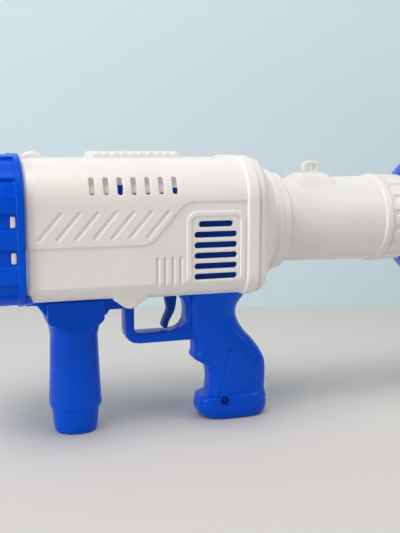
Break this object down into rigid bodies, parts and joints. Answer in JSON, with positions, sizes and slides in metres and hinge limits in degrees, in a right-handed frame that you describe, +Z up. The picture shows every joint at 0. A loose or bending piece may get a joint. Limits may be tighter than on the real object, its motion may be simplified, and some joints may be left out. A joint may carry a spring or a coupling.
{
  "type": "bubble blower",
  "caption": "Launcher-shaped toy bubble blower with a nozzle muzzle, vented white barrel, tail bell, foregrip and a pistol grip whose trigger switches the blower motor.",
  "frame": {"origin": "on the floor under the middle of the object's length and width, where the two grips stand", "axes": "+X along the barrel from the muzzle to the tail bell, +Y to the object's right-hand side, +Z up"},
  "size_m": [0.3832, 0.115, 0.2206],
  "materials": {
    "white_plastic": "satin",
    "blue_plastic": "semi-gloss",
    "deep_blue_plastic": "semi-gloss",
    "steel": "plain",
    "black_plastic": "matt",
    "pack_wrap": "shrink wrap"
  },
  "bodies": {
    "housing": {"body_shell_left": "white_plastic", "body_shell_right": "white_plastic", "top_rail": "white_plastic", "tail_tube": "white_plastic", "tail_collar": "white_plastic", "strap_saddle": "white_plastic", "nozzle_plate": "white_plastic", "air_duct": "white_plastic", "muzzle_shroud": "blue_plastic", "tail_bell": "blue_plastic", "grip_frame_left": "blue_plastic", "grip_frame_right": "blue_plastic", "foregrip_left": "blue_plastic", "foregrip_right": "blue_plastic", "blower_housing": "blue_plastic", "blower_cover": "blue_plastic", "vent_screen_left": "deep_blue_plastic", "vent_screen_right": "deep_blue_plastic", "trigger_pin": "steel", "return_spring": "steel", "motor": "steel", "body_screw_front_top": "steel", "body_screw_middle_top": "steel", "body_screw_rear_top": "steel", "body_screw_front_bottom": "steel", "body_screw_middle_bottom": "steel", "body_screw_rear_bottom": "steel", "frame_screw_leg": "steel", "frame_screw_neck": "steel", "frame_screw_base": "steel", "foregrip_screw_collar": "steel", "foregrip_screw_middle": "steel", "foregrip_screw_foot": "steel", "micro_switch": "black_plastic", "motor_end_cap": "black_plastic", "battery_pack": "pack_wrap"},
    "trigger": {"trigger": "deep_blue_plastic"},
    "switch_plunger": {"switch_plunger": "black_plastic"},
    "impeller": {"impeller": "white_plastic", "motor_shaft": "steel"},
    "battery_door": {"battery_door": "blue_plastic", "battery_door_screw": "steel"}
  },
  "joints": [
    {"name": "trigger_pull", "type": "hinge", "parent": "housing", "child": "trigger", "pos_m": [-0.03195, 0, 0.1109], "axis": [0, -1, 0], "range_deg": [0, 9], "stiffness_Nm_per_rad": 0.4, "springref_deg": -5.73},
    {"name": "plunger_slide", "type": "slide", "parent": "housing", "child": "switch_plunger", "axis": [1, 0, 0], "range_m": [0, 0.002], "deforming": ["return_spring"]},
    {"name": "impeller_spin", "type": "hinge", "parent": "housing", "child": "impeller", "pos_m": [-0.01375, 0, 0.149], "axis": [0, 1, 0], "continuous": true},
    {"name": "battery_door_lift", "type": "slide", "parent": "housing", "child": "battery_door", "axis": [0, -1, 0], "range_m": [0, 0.03]}
  ],
  "couplings": [
    {"joint": "plunger_slide", "follows": "trigger_pull", "m_per_rad": 0.011}
  ]
}
